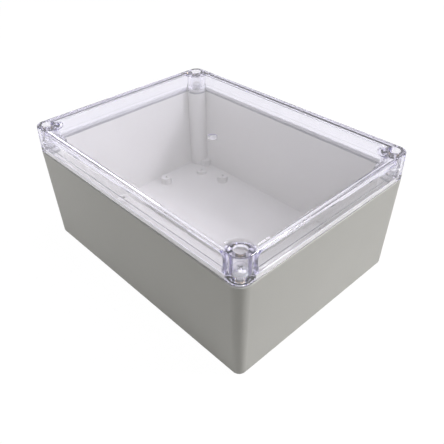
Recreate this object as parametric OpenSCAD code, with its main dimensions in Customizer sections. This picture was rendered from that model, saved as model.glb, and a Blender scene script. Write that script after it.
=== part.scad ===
// Screw-down electronics enclosure: a drafted moulded base and a clear lid
// with a deep skirt. A lip in the lid presses on a gasket inside the base's tongue,
// and the seal line runs inside the four screw pillars, so the screws stay
// outside the sealed space.
//
// The origin is the middle of the underside, X runs along the length, Y along
// the width and Z up. The seam between base and lid lies at base_h.

/* [Case] */
// Length over the seam
case_l = 200; // [160:5:300]
// Width over the seam
case_w = 150; // [120:5:240]
// Height of the base, from the underside to the seam
base_h = 72; // [50:1:120]
// Height of the lid above the seam
lid_h = 18; // [15:1:40]
// Radius of the four upright corners, at the seam
corner_r = 7.5; // [6:0.5:12]
// How far each side of the base leans in from the seam to the underside
base_draft = 2.4; // [0.5:0.1:3]
// How far each side of the lid leans in from the seam to the top
lid_draft = 0.3; // [0.1:0.1:1]
// Thickness of the side walls of base and lid
wall_t = 3; // [2.8:0.1:4]
// Height of the cavity floor above the underside
floor_t = 4.5; // [3.5:0.1:6]
// Thickness of the lid's top
lid_top_t = 3; // [2:0.1:4.5]
// Rounding of the base's bottom edge
bottom_edge_r = 1.6; // [0.5:0.1:2.5]
// Rounding of the lid's top edge
top_edge_r = 0.8; // [0.4:0.1:2]
// Rounding inside the lid, where its top meets the sides and the screw columns
inner_edge_r = 3.5; // [1:0.1:4]

/* [Underside] */
// Width of the rim that the base stands on
foot_w = 7; // [5:0.5:12]
// Depth of the recess inside that rim
foot_h = 0.8; // [0.3:0.1:1.2]

/* [Seal] */
// Open line between base and lid, seen from outside
seam_gap = 0.8; // [0.2:0.1:1]
// Bevel on the base's edge at the seam
seam_bevel = 0.5; // [0.1:0.1:0.6]
// Bevel on the lid's edge at the seam
skirt_bevel = 0.2; // [0.1:0.1:0.5]
// Thickness of the tongue that stands on the base
tongue_t = 1; // [0.8:0.1:1.2]
// Height of the tongue above the seam
tongue_h = 2.8; // [2:0.1:5]
// Clearance on each side of the tongue in the lid's groove
tongue_clear = 0.15; // [0.1:0.05:0.2]
// Clearance above the tongue
tongue_top_clear = 0.3; // [0.1:0.1:0.6]
// Width of the ledge inside the tongue, which carries the gasket
ledge_t = 1.1; // [0.8:0.1:1.2]
// Thickness of the gasket between the ledge and the lid's lip
gasket_t = 1.4; // [1.1:0.1:2]
// Clearance between gasket and tongue
gasket_clear = 0.05; // [0:0.01:0.1]
// How far the lip that presses on the gasket stands inside the walls
lip_t = 0.5; // [0.3:0.1:1.5]
// Solid height of the lip above the groove's roof
lip_roof_t = 2.8; // [0.8:0.1:4]

/* [Lid screws] */
// Distance of each screw from the two faces beside it
screw_inset = 7.5; // [7:0.5:9]
// Radius of the pillar and the lid column round each screw
pillar_r = 7.5; // [6.5:0.1:9]
// How much wider each pillar is at the floor
pillar_draft = 0.6; // [0:0.1:1]
// Thread diameter
screw_d = 4; // [3:0.5:5]
// Length of the screw under its head
screw_l = 14; // [12:0.5:20]
// Head diameter
head_d = 7; // [5.5:0.5:7.5]
// Head height
head_h = 2.6; // [1.8:0.1:3]
// Width across the cross recess in the head
recess_l = 4; // [3:0.1:4.4]
// Width of each slot of the cross recess
recess_w = 0.9; // [0.6:0.1:1.2]
// Depth of the cross recess
recess_depth = 1.5; // [0.8:0.1:1.6]
// Clearance round the head in its well
well_clear = 0.4; // [0.2:0.1:0.5]
// Clearance round the screw in the lid
shank_clear = 0.3; // [0.2:0.05:0.5]
// Thickness of the lid under the washer
clamp_t = 4; // [2.5:0.1:6]
// Thickness of the retaining washer
washer_t = 0.8; // [0.5:0.1:1.2]
// Clearance round the retaining washer in its well
washer_clear = 0.25; // [0.15:0.05:0.4]
// Running clearance of the screw in its washer and its insert
thread_clear = 0.05; // [0.02:0.01:0.09]

/* [Inserts] */
// Outer diameter of the threaded insert
insert_d = 6.2; // [6.1:0.1:7]
// Length of the insert
insert_l = 8; // [6:0.5:10]
// How far the insert sits below the top of its pillar
insert_sink = 0.5; // [0.2:0.1:1]
// Width and depth of the grooves round the insert
insert_groove = 0.4; // [0.2:0.1:0.5]
// Free depth of the pillar's bore below the screw's tip
bore_spare = 4; // [1:0.5:8]

/* [Board bosses] */
// Outer radius of each boss
boss_r = 4.2; // [3:0.1:4.5]
// Height of each boss above the floor
boss_h = 5; // [2:0.5:10]
// Height of each inner corner boss above the floor
inner_boss_h = 3; // [2:0.5:10]
// Radius of the pilot hole
pilot_r = 1.25; // [1:0.05:1.6]
// Depth of the pilot hole from the top of its boss
pilot_depth = 6; // [4:0.5:6]
// End bosses: distance from the end face
end_boss_x = 15; // [14:0.5:40]
// End bosses: distance from the middle of the width
end_boss_y = 22.5; // [10:0.5:35]
// Inner corner bosses: distance from the end face
inner_boss_x = 25; // [20:0.5:35]
// Inner corner bosses: distance from the side face
inner_boss_y = 21; // [18:0.5:30]
// Side bosses: distance from the end face
side_boss_x = 47.5; // [45:0.5:60]
// Side bosses: distance from the side face
side_boss_y = 17; // [12:0.5:30]
// Corner bosses: distance from the end face
corner_boss_x = 16.5; // [15.5:0.5:18]
// Corner bosses: distance from the side face
corner_boss_y = 8.5; // [8.5:0.5:10]

/* [Gate mark] */
// Radius of the dimple in the middle of the lid
gate_r = 3.5; // [2:0.1:6]
// Depth of the dimple
gate_depth = 0.35; // [0.1:0.05:0.6]
// Radius of the stub left in the dimple
gate_stub_r = 1.1; // [0.5:0.1:1.5]

/* [Hidden] */

$fn = 96;
// Overlap that makes two shapes of one piece join as one solid
lap = 0.5;
// Extra length of a cutting shape past the face it cuts
past = 1;
// Steps of each rounded edge
edge_steps = 6;

// The two signs of each corner, in the order of the node names
FRONT_LEFT = [-1, -1];
FRONT_RIGHT = [1, -1];
BACK_LEFT = [-1, 1];
BACK_RIGHT = [1, 1];
CORNERS = [FRONT_LEFT, FRONT_RIGHT, BACK_LEFT, BACK_RIGHT];

// Heights, from the underside up
shoulder_z = base_h - seam_gap;
tongue_top_z = base_h + tongue_h;
groove_roof_z = tongue_top_z + tongue_top_clear;
lip_z = shoulder_z + gasket_t;
lip_top_z = groove_roof_z + lip_roof_t;
case_h = base_h + lid_h;
hollow_top_z = case_h - lid_top_t;
clamp_z = base_h + clamp_t;
head_z = clamp_z + washer_t;
tip_z = head_z - screw_l;
insert_top_z = base_h - insert_sink;
insert_bottom_z = insert_top_z - insert_l;

// Centres of the upright corners and of the screws
corner_x = case_l / 2 - corner_r;
corner_y = case_w / 2 - corner_r;
screw_x = case_l / 2 - screw_inset;
screw_y = case_w / 2 - screw_inset;

well_r = head_d / 2 + well_clear;
washer_r = well_r - washer_clear;
shank_r = screw_d / 2;
fit_r = shank_r + thread_clear;
// The two faces of the tongue, as insets of the sealed space's plan
tongue_in = -ledge_t;
tongue_out = tongue_in - tongue_t;
// The stop on top of each pillar, which the lid's column rests on, ends short of the tongue
stop_r = pillar_r + tongue_out - 3 * tongue_clear;
// Half the width of each pillar where it runs into a wall
pillar_chord = sqrt(pow(pillar_r, 2) - pow(screw_inset - wall_t, 2));

// The bosses of one quarter: their places and the heights of their tops
boss_places = [
    [case_l / 2 - end_boss_x, end_boss_y, floor_t + boss_h],
    [case_l / 2 - inner_boss_x, case_w / 2 - inner_boss_y, floor_t + inner_boss_h],
    [case_l / 2 - side_boss_x, case_w / 2 - side_boss_y, floor_t + boss_h],
    [case_l / 2 - corner_boss_x, case_w / 2 - corner_boss_y, floor_t + boss_h],
];

// Points of a quarter circle about c, from angle a on, counter-clockwise
function quarter(c, r, a) =
    [for (i = [0:edge_steps]) c + r * [cos(a + 90 * i / edge_steps), sin(a + 90 * i / edge_steps)]];

// Puts its children at every screw
module at_screws() {
    for (s = CORNERS) translate([s.x * screw_x, s.y * screw_y, 0]) children();
}

// A block with round upright corners. The children are its half section, from
// the corner's axis (x = 0) outwards, with y as the height.
module block(z_low, z_high) {
    for (s = CORNERS) translate([s.x * corner_x, s.y * corner_y, 0]) rotate_extrude() children();
    for (side = [0, 1]) {
        mirror([side, 0, 0]) translate([corner_x, 0, 0])
            rotate([90, 0, 0]) linear_extrude(2 * corner_y, center = true) children();
        mirror([0, side, 0]) translate([0, corner_y, 0])
            rotate([90, 0, 90]) linear_extrude(2 * corner_x, center = true) children();
    }
    translate([-corner_x - lap, -corner_y - lap, z_low])
        cube([2 * (corner_x + lap), 2 * (corner_y + lap), z_high - z_low]);
}

// Plan of one pillar, grown by d, with the corner of the case that lies behind it
module pillar_plan(d) {
    reach = pillar_chord + d;
    circle(pillar_r + d);
    translate([0, -reach]) square(screw_inset + reach);
    translate([-reach, 0]) square(screw_inset + reach);
}

// Plan of the sealed space, set inwards by d. It passes the screws on the inside.
module plan(d) {
    difference() {
        square([case_l - 2 * (wall_t + d), case_w - 2 * (wall_t + d)], center = true);
        for (s = CORNERS) translate([s.x * screw_x, s.y * screw_y])
            mirror([s.x < 0 ? 1 : 0, 0]) mirror([0, s.y < 0 ? 1 : 0]) pillar_plan(d);
    }
}

// An upright prism of the plan, from one height to another
module space(d, z_low, z_high) {
    translate([0, 0, z_low]) linear_extrude(z_high - z_low) plan(d);
}

// A band that follows the seal line, between two insets of the plan
module seal_band(d_out, d_in, z_low, z_high) {
    translate([0, 0, z_low]) linear_extrude(z_high - z_low) difference() {
        plan(d_out);
        plan(d_in);
    }
}

// ---- Base ----

module base_section() {
    foot_r = corner_r - base_draft;
    polygon(concat(
        [[0, 0]],
        quarter([foot_r - bottom_edge_r, bottom_edge_r], bottom_edge_r, -90),
        [[corner_r, shoulder_z - seam_bevel], [corner_r - seam_bevel, shoulder_z], [0, shoulder_z]]
    ));
}

// Half section of the pit in the base, whose walls lean as the outside does
module pit_section(half) {
    lean = base_draft * (shoulder_z - floor_t) / shoulder_z;
    polygon([
        [-half + lean, floor_t], [half - lean, floor_t], [half, shoulder_z],
        [half, shoulder_z + past], [-half, shoulder_z + past], [-half, shoulder_z],
    ]);
}

module base_cavity() {
    difference() {
        intersection() {
            rotate([90, 0, 0]) linear_extrude(case_w, center = true) pit_section(case_l / 2 - wall_t);
            rotate([90, 0, 90]) linear_extrude(case_l, center = true) pit_section(case_w / 2 - wall_t);
        }
        at_screws() {
            cylinder(h = shoulder_z, r1 = pillar_r + pillar_draft, r2 = pillar_r);
            cylinder(h = shoulder_z + 2 * past, r = pillar_r);
        }
    }
}

module bosses() {
    for (p = boss_places, s = CORNERS) translate([s.x * p.x, s.y * p.y, floor_t - lap])
        cylinder(h = p.z - floor_t + lap, r = boss_r);
}

module pilot_holes() {
    for (p = boss_places, s = CORNERS) translate([s.x * p.x, s.y * p.y, p.z - pilot_depth])
        cylinder(h = pilot_depth + past, r = pilot_r);
}

// The pocket of the insert, and the bore below it
module insert_bore() {
    translate([0, 0, insert_bottom_z]) cylinder(h = insert_l + insert_sink + past, d = insert_d);
    translate([0, 0, tip_z - bore_spare]) cylinder(h = insert_bottom_z - tip_z + bore_spare + lap,
        r = shank_r + shank_clear);
}

module base() {
    color([0.74, 0.73, 0.70]) difference() {
        union() {
            difference() {
                block(0, shoulder_z) base_section();
                base_cavity();
            }
            seal_band(tongue_out, tongue_in, shoulder_z - lap, tongue_top_z);
            at_screws() translate([0, 0, shoulder_z - lap]) cylinder(h = seam_gap + lap, r = stop_r);
            bosses();
        }
        at_screws() insert_bore();
        pilot_holes();
        translate([0, 0, (foot_h - past) / 2]) cube([
            case_l - 2 * (base_draft + foot_w), case_w - 2 * (base_draft + foot_w), foot_h + past,
        ], center = true);
    }
}

// ---- Lid ----

module lid_section() {
    top_r = corner_r - lid_draft;
    polygon(concat(
        [[0, base_h], [corner_r - skirt_bevel, base_h], [corner_r, base_h + skirt_bevel]],
        quarter([top_r - top_edge_r, case_h - top_edge_r], top_edge_r, 0),
        [[0, case_h]]
    ));
}

// The well for the screw's head and the hole for its shank
module screw_well() {
    translate([0, 0, clamp_z]) cylinder(h = case_h - clamp_z + past, r = well_r);
    translate([0, 0, base_h - past]) cylinder(h = clamp_t + 2 * past, r = shank_r + shank_clear);
}

module gate_mark() {
    difference() {
        translate([0, 0, case_h - gate_depth]) cylinder(h = gate_depth + past, r = gate_r);
        translate([0, 0, case_h - 2 * gate_depth]) cylinder(h = 1.6 * gate_depth, r = gate_stub_r);
    }
}

// Half section of the hollow in the lid, rounded at the top
module hollow_section(half) {
    r = inner_edge_r;
    polygon(concat(
        [[-half, lip_top_z], [half, lip_top_z]],
        quarter([half - r, hollow_top_z - r], r, 0),
        quarter([r - half, hollow_top_z - r], r, 90)
    ));
}

// Half section of the column round each screw, which flares out under the lid's top
module column_section() {
    r = inner_edge_r;
    flare = quarter([pillar_r + r, hollow_top_z - r], r, 90);
    polygon(concat(
        [[0, base_h], [pillar_r, base_h]],
        [for (i = [edge_steps:-1:0]) flare[i]],
        [[0, hollow_top_z]]
    ));
}

module lid_hollow() {
    difference() {
        intersection() {
            rotate([90, 0, 0]) linear_extrude(case_w, center = true)
                hollow_section(case_l / 2 - wall_t);
            rotate([90, 0, 90]) linear_extrude(case_l, center = true)
                hollow_section(case_w / 2 - wall_t);
        }
        at_screws() rotate_extrude() column_section();
    }
}

module lid() {
    color([0.84, 0.85, 0.92, 0.35]) difference() {
        block(base_h, case_h) lid_section();
        lid_hollow();
        space(lip_t, base_h - past, lip_top_z + lap);
        space(tongue_in + tongue_clear, base_h - past, lip_z);
        seal_band(tongue_out - tongue_clear, tongue_in + tongue_clear, base_h - past, groove_roof_z);
        at_screws() screw_well();
        gate_mark();
    }
}

module gasket() {
    color([0.45, 0.46, 0.47])
        seal_band(tongue_in + gasket_clear, 0, shoulder_z, lip_z);
}

// ---- Lid screws ----

module head_section() {
    rim_h = head_h * 0.45;
    polygon(concat(
        [[0, 0], [head_d / 2, 0]],
        [for (i = [0:edge_steps]) [
            head_d / 2 * cos(90 * i / edge_steps),
            rim_h + (head_h - rim_h) * sin(90 * i / edge_steps),
        ]]
    ));
}

module screw() {
    tip_bevel = screw_d / 8;
    color([0.80, 0.80, 0.80]) difference() {
        union() {
            translate([0, 0, head_z]) rotate_extrude() head_section();
            translate([0, 0, tip_z + tip_bevel]) cylinder(h = screw_l - tip_bevel + lap, r = shank_r);
            translate([0, 0, tip_z]) cylinder(h = tip_bevel, r1 = shank_r - tip_bevel, r2 = shank_r);
        }
        for (turn = [0, 90]) rotate([0, 0, turn])
            translate([-recess_l / 2, -recess_w / 2, head_z + head_h - recess_depth])
                cube([recess_l, recess_w, recess_depth + past]);
    }
}

module washer() {
    color([0.93, 0.93, 0.91]) translate([0, 0, clamp_z]) difference() {
        cylinder(h = washer_t, r = washer_r);
        translate([0, 0, -past]) cylinder(h = washer_t + 2 * past, r = fit_r);
    }
}

// Two grooves round the insert leave three bands that grip the pillar
module insert() {
    band = (insert_l - 2 * insert_groove) / 3;
    color([0.80, 0.62, 0.30]) translate([0, 0, insert_bottom_z]) difference() {
        cylinder(h = insert_l, d = insert_d);
        translate([0, 0, -past]) cylinder(h = insert_l + 2 * past, r = fit_r);
        for (i = [0, 1]) translate([0, 0, band + i * (band + insert_groove)]) difference() {
            cylinder(h = insert_groove, d = insert_d + past);
            cylinder(h = insert_groove, d = insert_d - 2 * insert_groove);
        }
    }
}

module at_corner(s) {
    translate([s.x * screw_x, s.y * screw_y, 0]) children();
}

base();
lid();
gasket();
at_corner(FRONT_LEFT) screw();  // screw_front_left
at_corner(FRONT_RIGHT) screw();  // screw_front_right
at_corner(BACK_LEFT) screw();  // screw_back_left
at_corner(BACK_RIGHT) screw();  // screw_back_right
at_corner(FRONT_LEFT) washer();  // washer_front_left
at_corner(FRONT_RIGHT) washer();  // washer_front_right
at_corner(BACK_LEFT) washer();  // washer_back_left
at_corner(BACK_RIGHT) washer();  // washer_back_right
at_corner(FRONT_LEFT) insert();  // insert_front_left
at_corner(FRONT_RIGHT) insert();  // insert_front_right
at_corner(BACK_LEFT) insert();  // insert_back_left
at_corner(BACK_RIGHT) insert();  // insert_back_right
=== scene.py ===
"""Looks of a screw-down enclosure: a grey moulded base under a clear, deep-skirted lid."""

import math

import bpy
from mathutils import Matrix, Vector


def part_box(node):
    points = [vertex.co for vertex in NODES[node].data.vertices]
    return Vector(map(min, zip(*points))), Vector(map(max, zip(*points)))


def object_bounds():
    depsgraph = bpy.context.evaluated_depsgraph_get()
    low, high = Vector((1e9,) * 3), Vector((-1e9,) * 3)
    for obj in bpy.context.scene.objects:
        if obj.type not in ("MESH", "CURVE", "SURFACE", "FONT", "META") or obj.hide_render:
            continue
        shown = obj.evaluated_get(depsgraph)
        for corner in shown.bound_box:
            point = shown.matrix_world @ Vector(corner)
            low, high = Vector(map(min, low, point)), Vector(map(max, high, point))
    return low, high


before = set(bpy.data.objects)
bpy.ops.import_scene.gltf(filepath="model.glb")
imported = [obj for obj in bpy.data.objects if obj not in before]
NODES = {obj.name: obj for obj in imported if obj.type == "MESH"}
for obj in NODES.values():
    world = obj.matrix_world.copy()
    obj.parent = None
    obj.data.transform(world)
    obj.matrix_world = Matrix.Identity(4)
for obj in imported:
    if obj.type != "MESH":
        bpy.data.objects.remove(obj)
CAD_BOUNDS = [list(corner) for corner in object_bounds()]
LOW, HIGH = (Vector(corner) for corner in CAD_BOUNDS)
MM = 0.001

# The open line under the lid's skirt starts level with the gasket's foot. Painted shade stands
# in for the shadow in that line: it darkens the base and reaches a little past both of its edges.
SEAM_GAP = 0.8 * MM
SEAM_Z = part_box("gasket")[0][2] + SEAM_GAP / 2
SEAM_SHADE_REACH = 0.5 * MM
SEAM_SHADE_TONE = (0.4, 0.4, 0.38)

# The dull spot in the middle of the lid is full up to the first radius and gone at the second
GATE_FULL_RADIUS = 2.4 * MM
GATE_END_RADIUS = 3.6 * MM

# Light round the object and the white behind and under it, where a strength of 1 is white
AMBIENT = (0.09, 0.09, 0.08)
BACKDROP_STRENGTH = 1.02
FLOOR_STRENGTH = 1.05
FLOOR_TONE = (0.80, 0.80, 0.80)
FLOOR_SHADOW = 0.06
FLOOR_SIZE = 12
FLOOR_GAP = 0.02 * MM

# Name, azimuth and elevation in degrees, distance and size in metres, power in watts
LAMPS = (
    ("key", 42, 37, 1.6, 0.3, 13.0),
    ("top", 60, 80, 1.4, 1.0, 4.6),
    ("fill", 225, 5, 0.5, 0.2, 0.30),
)

# The camera's place in metres, its turns in degrees, and the width of its view in degrees
CAMERA_PLACE = (0.2277, -0.2061, 0.2520)
CAMERA_YAW, CAMERA_PITCH, CAMERA_ROLL = -46.84, -37.02, -0.86
CAMERA_WIDTH = 45.62
CAMERA_CLIP = 0.01

# Light goes round inside the lid's edges many times
LIGHT_BOUNCES = 32


# ---- Node helpers ----

def new_material(name):
    """An empty node material and its output node."""
    material = bpy.data.materials.new(name)
    material.use_nodes = True
    material.node_tree.nodes.clear()
    output = material.node_tree.nodes.new("ShaderNodeOutputMaterial")
    return material, output


def add_node(tree, kind, **values):
    """A node of that kind. Each value names an input socket, with _ for a space, or a property."""
    node = tree.nodes.new("ShaderNode" + kind)
    for name, value in values.items():
        socket = name.replace("_", " ")
        if socket in node.inputs:
            node.inputs[socket].default_value = value
        else:
            setattr(node, name, value)
    return node


def link(tree, source, target):
    tree.links.new(source, target)


def object_coords(tree):
    """Coordinates in metres in the row frame."""
    return tree.nodes.new("ShaderNodeTexCoord").outputs["Object"]


def object_axes(tree):
    """The same coordinates as three outputs, X, Y and Z."""
    parts = tree.nodes.new("ShaderNodeSeparateXYZ")
    link(tree, object_coords(tree), parts.inputs["Vector"])
    return parts.outputs


def noise(tree, size, detail=2.0):
    """Noise whose blotches are about size metres across."""
    node = add_node(tree, "TexNoise", Scale=1.0 / size, Detail=detail)
    link(tree, object_coords(tree), node.inputs["Vector"])
    return node.outputs["Fac"]


def ramp(tree, source, low, high):
    """Maps 0..1 to low..high, where both are numbers or both are colours."""
    if isinstance(low, (int, float)):
        node = add_node(tree, "MapRange", To_Min=low, To_Max=high)
        link(tree, source, node.inputs["Value"])
        return node.outputs["Result"]
    node = tree.nodes.new("ShaderNodeValToRGB")
    node.color_ramp.elements[0].color = (*low, 1)
    node.color_ramp.elements[1].color = (*high, 1)
    link(tree, source, node.inputs["Fac"])
    return node.outputs["Color"]


def bump(tree, height, distance):
    """A normal that follows the height, where a height of 1 is distance metres."""
    node = add_node(tree, "Bump", Strength=1.0, Distance=distance)
    link(tree, height, node.inputs["Height"])
    return node.outputs["Normal"]


def painted_seam_shade(tree, color, amount):
    """The colour, multiplied by the tone of the painted shade where amount is 1."""
    node = add_node(tree, "MixRGB", blend_type="MULTIPLY", Color2=(*SEAM_SHADE_TONE, 1))
    link(tree, amount, node.inputs["Fac"])
    link(tree, color, node.inputs["Color1"])
    return node.outputs["Color"]


def seam_shade_band(tree):
    """1 in the open line between base and lid, where painted shade darkens the base, and 0
    elsewhere.
    """
    near = add_node(tree, "Math", operation="COMPARE")
    near.inputs[1].default_value = SEAM_Z
    near.inputs[2].default_value = SEAM_SHADE_REACH
    link(tree, object_axes(tree)["Z"], near.inputs[0])
    return near.outputs[0]


def gate_mark(tree):
    """1 in the dull spot that the mould's gate leaves in the middle of the lid, 0 elsewhere."""
    axes = object_axes(tree)
    flat = tree.nodes.new("ShaderNodeCombineXYZ")
    for axis in "XY":
        link(tree, axes[axis], flat.inputs[axis])
    reach = add_node(tree, "VectorMath", operation="LENGTH")
    link(tree, flat.outputs[0], reach.inputs[0])
    fade = add_node(tree, "MapRange", From_Min=GATE_FULL_RADIUS, From_Max=GATE_END_RADIUS,
                    To_Min=1.0, To_Max=0.0)
    link(tree, reach.outputs["Value"], fade.inputs["Value"])
    return fade.outputs["Result"]


# ---- Materials ----

def moulded_plastic():
    """Light warm grey moulding with a fine grain, slight flow marks and painted shade along the
    seam.
    """
    material, output = new_material("base_plastic")
    tree = material.node_tree
    shader = add_node(tree, "BsdfPrincipled", IOR=1.5)
    flow = noise(tree, size=50 * MM, detail=3)
    body = ramp(tree, flow, (0.61, 0.60, 0.57), (0.66, 0.65, 0.62))
    # Painted shade: the base colour is darkened in a band along the seam, where the gap's shadow
    # falls
    link(tree, painted_seam_shade(tree, body, seam_shade_band(tree)), shader.inputs["Base Color"])
    grain = noise(tree, size=0.45 * MM, detail=1)
    link(tree, ramp(tree, grain, 0.42, 0.56), shader.inputs["Roughness"])
    link(tree, bump(tree, grain, distance=0.04 * MM), shader.inputs["Normal"])
    link(tree, shader.outputs[0], output.inputs["Surface"])
    return material


def clear_plastic():
    """Polished clear polycarbonate. Lamps shine through it, so what it covers stays lit."""
    material, output = new_material("clear_lid")
    tree = material.node_tree
    glass = add_node(tree, "BsdfPrincipled", Base_Color=(0.972, 0.968, 0.99, 1),
                     Roughness=0.02, IOR=1.585)
    link(tree, ramp(tree, gate_mark(tree), 0.96, 0.72), glass.inputs["Transmission Weight"])
    through = add_node(tree, "BsdfTransparent", Color=(0.93, 0.93, 0.96, 1))
    ripple = noise(tree, size=30 * MM, detail=1)
    link(tree, bump(tree, ripple, distance=0.1 * MM), glass.inputs["Normal"])
    path = tree.nodes.new("ShaderNodeLightPath")
    mix = tree.nodes.new("ShaderNodeMixShader")
    link(tree, path.outputs["Is Shadow Ray"], mix.inputs["Fac"])
    link(tree, glass.outputs[0], mix.inputs[1])
    link(tree, through.outputs[0], mix.inputs[2])
    link(tree, mix.outputs[0], output.inputs["Surface"])
    tint = add_node(tree, "VolumeAbsorption", Color=(0.55, 0.48, 0.85, 1), Density=20.0)
    link(tree, tint.outputs[0], output.inputs["Volume"])
    return material


def seal_rubber():
    """Dull grey cellular rubber."""
    material, output = new_material("gasket_rubber")
    tree = material.node_tree
    shader = add_node(tree, "BsdfPrincipled", IOR=1.5)
    cells = noise(tree, size=0.6 * MM, detail=2)
    color = ramp(tree, cells, (0.17, 0.18, 0.19), (0.23, 0.24, 0.25))
    link(tree, color, shader.inputs["Base Color"])
    link(tree, ramp(tree, cells, 0.7, 0.85), shader.inputs["Roughness"])
    link(tree, bump(tree, cells, distance=0.06 * MM), shader.inputs["Normal"])
    link(tree, shader.outputs[0], output.inputs["Surface"])
    return material


def metal(name, dark, light, rough_low, rough_high):
    """Turned metal between the two colours and between the two roughnesses."""
    material, output = new_material(name)
    tree = material.node_tree
    shader = add_node(tree, "BsdfPrincipled", Metallic=1.0)
    marks = noise(tree, size=0.8 * MM, detail=3)
    link(tree, ramp(tree, marks, dark, light), shader.inputs["Base Color"])
    link(tree, ramp(tree, marks, rough_low, rough_high), shader.inputs["Roughness"])
    link(tree, bump(tree, marks, distance=0.02 * MM), shader.inputs["Normal"])
    link(tree, shader.outputs[0], output.inputs["Surface"])
    return material


def nylon():
    """Slightly cloudy off-white nylon."""
    material, output = new_material("washer_nylon")
    tree = material.node_tree
    shader = add_node(tree, "BsdfPrincipled", IOR=1.53, Subsurface_Weight=0.2)
    cloud = noise(tree, size=MM)
    color = ramp(tree, cloud, (0.78, 0.78, 0.74), (0.86, 0.86, 0.83))
    link(tree, color, shader.inputs["Base Color"])
    link(tree, ramp(tree, cloud, 0.35, 0.45), shader.inputs["Roughness"])
    link(tree, shader.outputs[0], output.inputs["Surface"])
    return material


MATERIALS = {
    "base": moulded_plastic(),
    "lid": clear_plastic(),
    "gasket": seal_rubber(),
    "screw": metal("screw_steel", (0.52, 0.52, 0.52), (0.68, 0.68, 0.68), 0.22, 0.36),
    "washer": nylon(),
    "insert": metal("insert_brass", (0.70, 0.50, 0.22), (0.85, 0.66, 0.34), 0.25, 0.4),
}


def dress_nodes():
    """Gives each CAD node the material that its name starts with."""
    for name, node in NODES.items():
        material = MATERIALS[name.split("_")[0]]
        node.data.materials.clear()
        node.data.materials.append(material)


# ---- Stage ----

def seen_ray(tree):
    """1 for a ray that shows the background: a camera, mirror or glass ray."""
    path = tree.nodes.new("ShaderNodeLightPath")
    total = path.outputs["Is Camera Ray"]
    for name in ("Is Glossy Ray", "Is Transmission Ray"):
        either = add_node(tree, "Math", operation="MAXIMUM")
        link(tree, total, either.inputs[0])
        link(tree, path.outputs[name], either.inputs[1])
        total = either.outputs[0]
    return total


def add_world():
    """White behind the object, and a plain even light on it."""
    world = bpy.data.worlds.new("studio")
    bpy.context.scene.world = world
    world.use_nodes = True
    tree = world.node_tree
    tree.nodes.clear()
    output = tree.nodes.new("ShaderNodeOutputWorld")
    lit = add_node(tree, "Background", Color=(*AMBIENT, 1), Strength=1.0)
    shown = add_node(tree, "Background", Color=(1, 1, 1, 1), Strength=BACKDROP_STRENGTH)
    mix = tree.nodes.new("ShaderNodeMixShader")
    link(tree, seen_ray(tree), mix.inputs["Fac"])
    link(tree, lit.outputs[0], mix.inputs[1])
    link(tree, shown.outputs[0], mix.inputs[2])
    link(tree, mix.outputs[0], output.inputs["Surface"])


def add_floor():
    """A white floor that keeps a faint shadow."""
    bpy.ops.mesh.primitive_plane_add(size=FLOOR_SIZE, location=(0, 0, LOW.z - FLOOR_GAP))
    floor = bpy.context.object
    floor.name = "studio_floor"
    material, output = new_material("floor_white")
    tree = material.node_tree
    paper = add_node(tree, "BsdfDiffuse", Color=(*FLOOR_TONE, 1))
    white = add_node(tree, "Emission", Color=(1, 1, 1, 1), Strength=FLOOR_STRENGTH)
    shade = add_node(tree, "MixShader", Fac=FLOOR_SHADOW)
    link(tree, white.outputs[0], shade.inputs[1])
    link(tree, paper.outputs[0], shade.inputs[2])
    mix = tree.nodes.new("ShaderNodeMixShader")
    link(tree, seen_ray(tree), mix.inputs["Fac"])
    link(tree, paper.outputs[0], mix.inputs[1])
    link(tree, shade.outputs[0], mix.inputs[2])
    link(tree, mix.outputs[0], output.inputs["Surface"])
    floor.data.materials.append(material)


def add_lamp(name, azimuth, elevation, distance, size, power):
    """A square soft lamp aimed at the middle of the object. Azimuth 0 is +X, 90 is +Y."""
    data = bpy.data.lights.new(name, "AREA")
    data.shape = "SQUARE"
    data.size = size
    data.energy = power
    lamp = bpy.data.objects.new(name, data)
    bpy.context.scene.collection.objects.link(lamp)
    a, e = math.radians(azimuth), math.radians(elevation)
    middle = (LOW + HIGH) / 2
    way = Vector((math.cos(a) * math.cos(e), math.sin(a) * math.cos(e), math.sin(e)))
    lamp.location = middle + distance * way
    lamp.rotation_euler = way.to_track_quat("Z", "Y").to_euler()


def add_camera():
    """The camera stands off the front right corner and looks down on the lid."""
    yaw, pitch, roll = (math.radians(v) for v in (CAMERA_YAW, CAMERA_PITCH, CAMERA_ROLL))
    data = bpy.data.cameras.new("camera")
    data.sensor_fit = "HORIZONTAL"
    data.angle = math.radians(CAMERA_WIDTH)
    data.clip_start = CAMERA_CLIP
    camera = bpy.data.objects.new("camera", data)
    bpy.context.scene.collection.objects.link(camera)
    camera.location = CAMERA_PLACE
    forward = Vector((math.sin(yaw) * math.cos(pitch),
                      math.cos(yaw) * math.cos(pitch),
                      math.sin(pitch)))
    right = forward.cross(Vector((0, 0, 1))).normalized()
    up = right.cross(forward)
    turned_right = right * math.cos(roll) + up * math.sin(roll)
    turned_up = up * math.cos(roll) - right * math.sin(roll)
    turn = Matrix((turned_right, turned_up, -forward)).transposed()
    camera.rotation_euler = turn.to_euler()
    bpy.context.scene.camera = camera


add_camera()
dress_nodes()
add_world()
add_floor()
for lamp in LAMPS:
    add_lamp(*lamp)

bpy.context.scene.view_settings.view_transform = "Standard"
bpy.context.scene.cycles.max_bounces = LIGHT_BOUNCES
bpy.context.scene.cycles.glossy_bounces = LIGHT_BOUNCES
bpy.context.scene.cycles.transmission_bounces = LIGHT_BOUNCES
